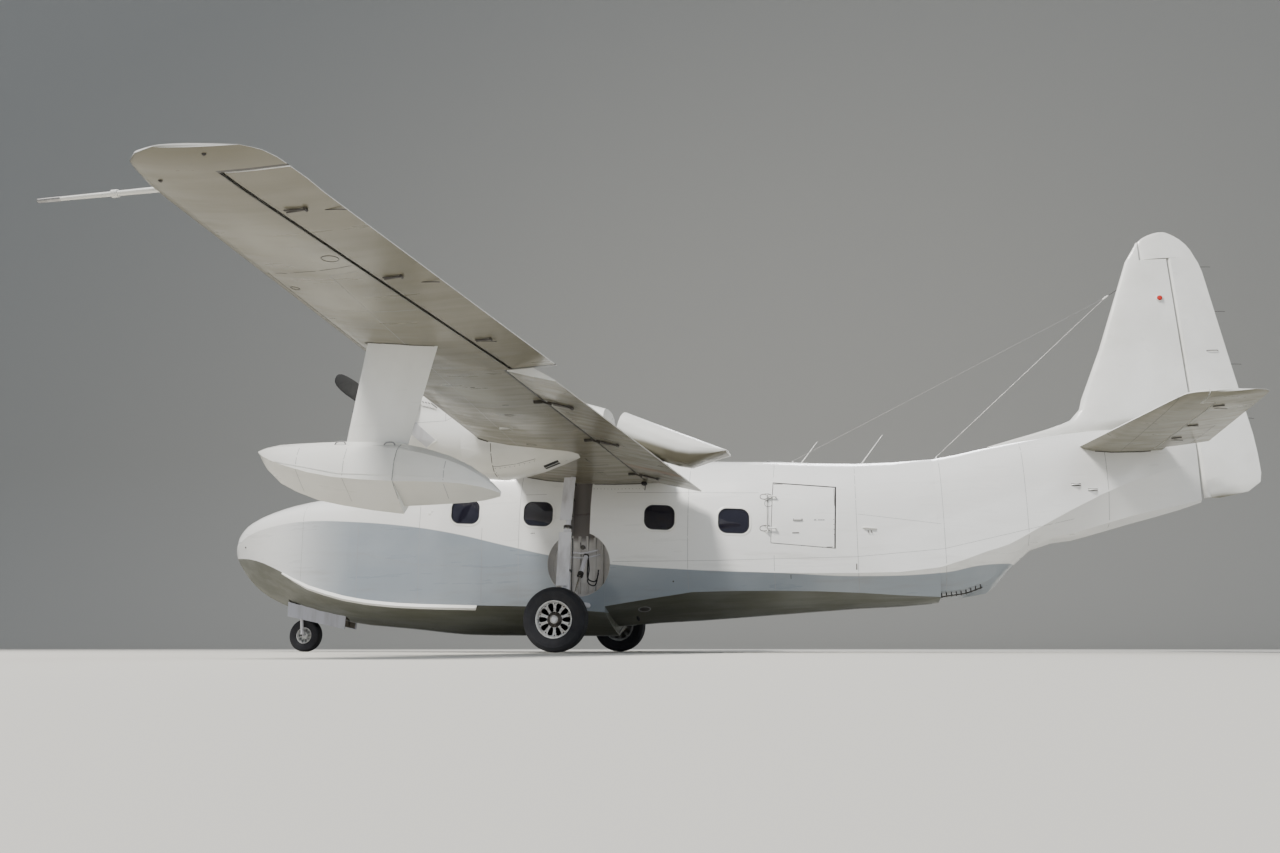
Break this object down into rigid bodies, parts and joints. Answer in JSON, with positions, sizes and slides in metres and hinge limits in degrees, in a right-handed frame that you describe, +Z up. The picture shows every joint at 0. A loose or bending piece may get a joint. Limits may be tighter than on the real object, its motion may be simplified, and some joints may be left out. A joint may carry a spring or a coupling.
{
  "type": "twin-turboprop amphibious flying boat",
  "caption": "High-wing amphibious flying boat with twin turboprops, stepped hull, wing floats and retractable tricycle gear, parked on its wheels with its flaps partly down.",
  "frame": {"origin": "on the ground under the middle of the whole machine", "axes": "+X towards the tail, +Y to starboard, +Z up"},
  "size_m": [14.726, 20.32, 5.744],
  "materials": {
    "white_skin": "gloss white paint over riveted aluminium sheet, weathered, with seams and stains",
    "hull_bottom": "satin light blue-grey paint over riveted aluminium sheet, scuffed and water-stained",
    "gear_steel": "painted and bare steel with grease and road dirt",
    "propeller": "polished spinner, blades painted dark on their backs",
    "engine": "dull heat-stained metal",
    "tyre": "worn black rubber with ribs",
    "glass": "clear acrylic with a faint tint",
    "interior": "matt cabin lining",
    "seat": "worn brown upholstery"
  },
  "bodies": {
    "airframe": {"cabin_shell": "white_skin", "bow": "white_skin", "forebody_bottom": "hull_bottom", "afterbody_bottom": "hull_bottom", "tail_cone": "white_skin", "spray_rail_left": "white_skin", "spray_rail_right": "white_skin", "windscreen_left": "glass", "windscreen_right": "glass", "cockpit_window_left": "glass", "cockpit_window_right": "glass", "cabin_floor": "interior", "instrument_panel": "interior", "aft_bulkhead": "interior", "pilot_seat_left": "seat", "pilot_seat_right": "seat", "cabin_seats_left": "seat", "cabin_seats_right": "seat", "wing_left": "white_skin", "wing_right": "white_skin", "nacelle_left": "white_skin", "nacelle_right": "white_skin", "cowl_left": "white_skin", "cowl_right": "white_skin", "engine_left": "engine", "engine_right": "engine", "float_left": "white_skin", "float_right": "white_skin", "float_strut_left": "white_skin", "float_strut_right": "white_skin", "pitot_boom": "white_skin", "fin": "white_skin", "stabiliser_left": "white_skin", "stabiliser_right": "white_skin", "nose_leg": "gear_steel", "nose_door_left": "hull_bottom", "nose_door_right": "hull_bottom", "main_leg_left": "gear_steel", "main_leg_right": "gear_steel"},
    "door": {"cabin_door": "white_skin"},
    "aileron_left": {"aileron_left": "white_skin"},
    "aileron_right": {"aileron_right": "white_skin"},
    "flap_left": {"flap_left": "white_skin"},
    "flap_right": {"flap_right": "white_skin"},
    "elevator_left": {"elevator_left": "white_skin"},
    "elevator_right": {"elevator_right": "white_skin"},
    "rudder": {"rudder": "white_skin"},
    "propeller_left": {"propeller_left": "propeller"},
    "propeller_right": {"propeller_right": "propeller"},
    "nose_steering": {"nose_fork": "gear_steel"},
    "nose_wheel": {"nose_tyre": "tyre", "nose_hub": "gear_steel"},
    "main_wheel_left": {"main_left_tyre": "tyre", "main_left_hub": "gear_steel"},
    "main_wheel_right": {"main_right_tyre": "tyre", "main_right_hub": "gear_steel"}
  },
  "joints": [
    {"name": "door_hinge", "type": "hinge", "parent": "airframe", "child": "door", "pos_m": [0.959, -0.93, 1.62], "axis": [0, -0.2216, -0.9751], "range_deg": [0, 105]},
    {"name": "aileron_left_hinge", "type": "hinge", "parent": "airframe", "child": "aileron_left", "pos_m": [-0.9282, -6.13, 2.6033], "axis": [0.1225, 0.9917, -0.038], "range_deg": [-20, 20]},
    {"name": "aileron_right_hinge", "type": "hinge", "parent": "airframe", "child": "aileron_right", "pos_m": [-0.9282, 6.13, 2.6033], "axis": [-0.1225, 0.9917, 0.038], "range_deg": [-20, 20]},
    {"name": "flap_left_hinge", "type": "hinge", "parent": "airframe", "child": "flap_left", "pos_m": [-0.6938, -1.065, 2.2917], "axis": [0.0588, 0.9973, -0.0449], "range_deg": [-17, 23]},
    {"name": "flap_right_hinge", "type": "hinge", "parent": "airframe", "child": "flap_right", "pos_m": [-0.6938, 1.065, 2.2917], "axis": [-0.0588, 0.9973, 0.0449], "range_deg": [-17, 23]},
    {"name": "elevator_left_hinge", "type": "hinge", "parent": "airframe", "child": "elevator_left", "pos_m": [6.01522, -0.372, 2.69318], "axis": [-0.01, 0.9997, -0.022], "range_deg": [-25, 15]},
    {"name": "elevator_right_hinge", "type": "hinge", "parent": "airframe", "child": "elevator_right", "pos_m": [6.01522, 0.372, 2.69318], "axis": [0.01, 0.9997, 0.022], "range_deg": [-25, 15]},
    {"name": "rudder_hinge", "type": "hinge", "parent": "airframe", "child": "rudder", "pos_m": [6.68492, 0, 1.995], "axis": [-0.0413, 0, 0.9991], "range_deg": [-25, 25]},
    {"name": "propeller_left_spin", "type": "hinge", "parent": "airframe", "child": "propeller_left", "pos_m": [-3.843, -2.6, 3.07], "axis": [1, 0, 0], "continuous": true},
    {"name": "propeller_right_spin", "type": "hinge", "parent": "airframe", "child": "propeller_right", "pos_m": [-3.843, 2.6, 3.07], "axis": [1, 0, 0], "continuous": true},
    {"name": "nose_steer", "type": "hinge", "parent": "airframe", "child": "nose_steering", "pos_m": [-6.188, 0, 0.56], "axis": [-0.0743, 0, 0.9972], "range_deg": [-35, 35]},
    {"name": "nose_wheel_spin", "type": "hinge", "parent": "nose_steering", "child": "nose_wheel", "pos_m": [-6.153, 0, 0.243], "axis": [0, 1, 0], "continuous": true},
    {"name": "main_wheel_left_spin", "type": "hinge", "parent": "airframe", "child": "main_wheel_left", "pos_m": [-1.673, -1.886, 0.41], "axis": [0, 1, 0], "continuous": true},
    {"name": "main_wheel_right_spin", "type": "hinge", "parent": "airframe", "child": "main_wheel_right", "pos_m": [-1.673, 1.886, 0.41], "axis": [0, 1, 0], "continuous": true}
  ],
  "couplings": [
    {"joint": "aileron_right_hinge", "follows": "aileron_left_hinge", "ratio": -1},
    {"joint": "flap_right_hinge", "follows": "flap_left_hinge", "ratio": 1},
    {"joint": "elevator_right_hinge", "follows": "elevator_left_hinge", "ratio": 1}
  ]
}
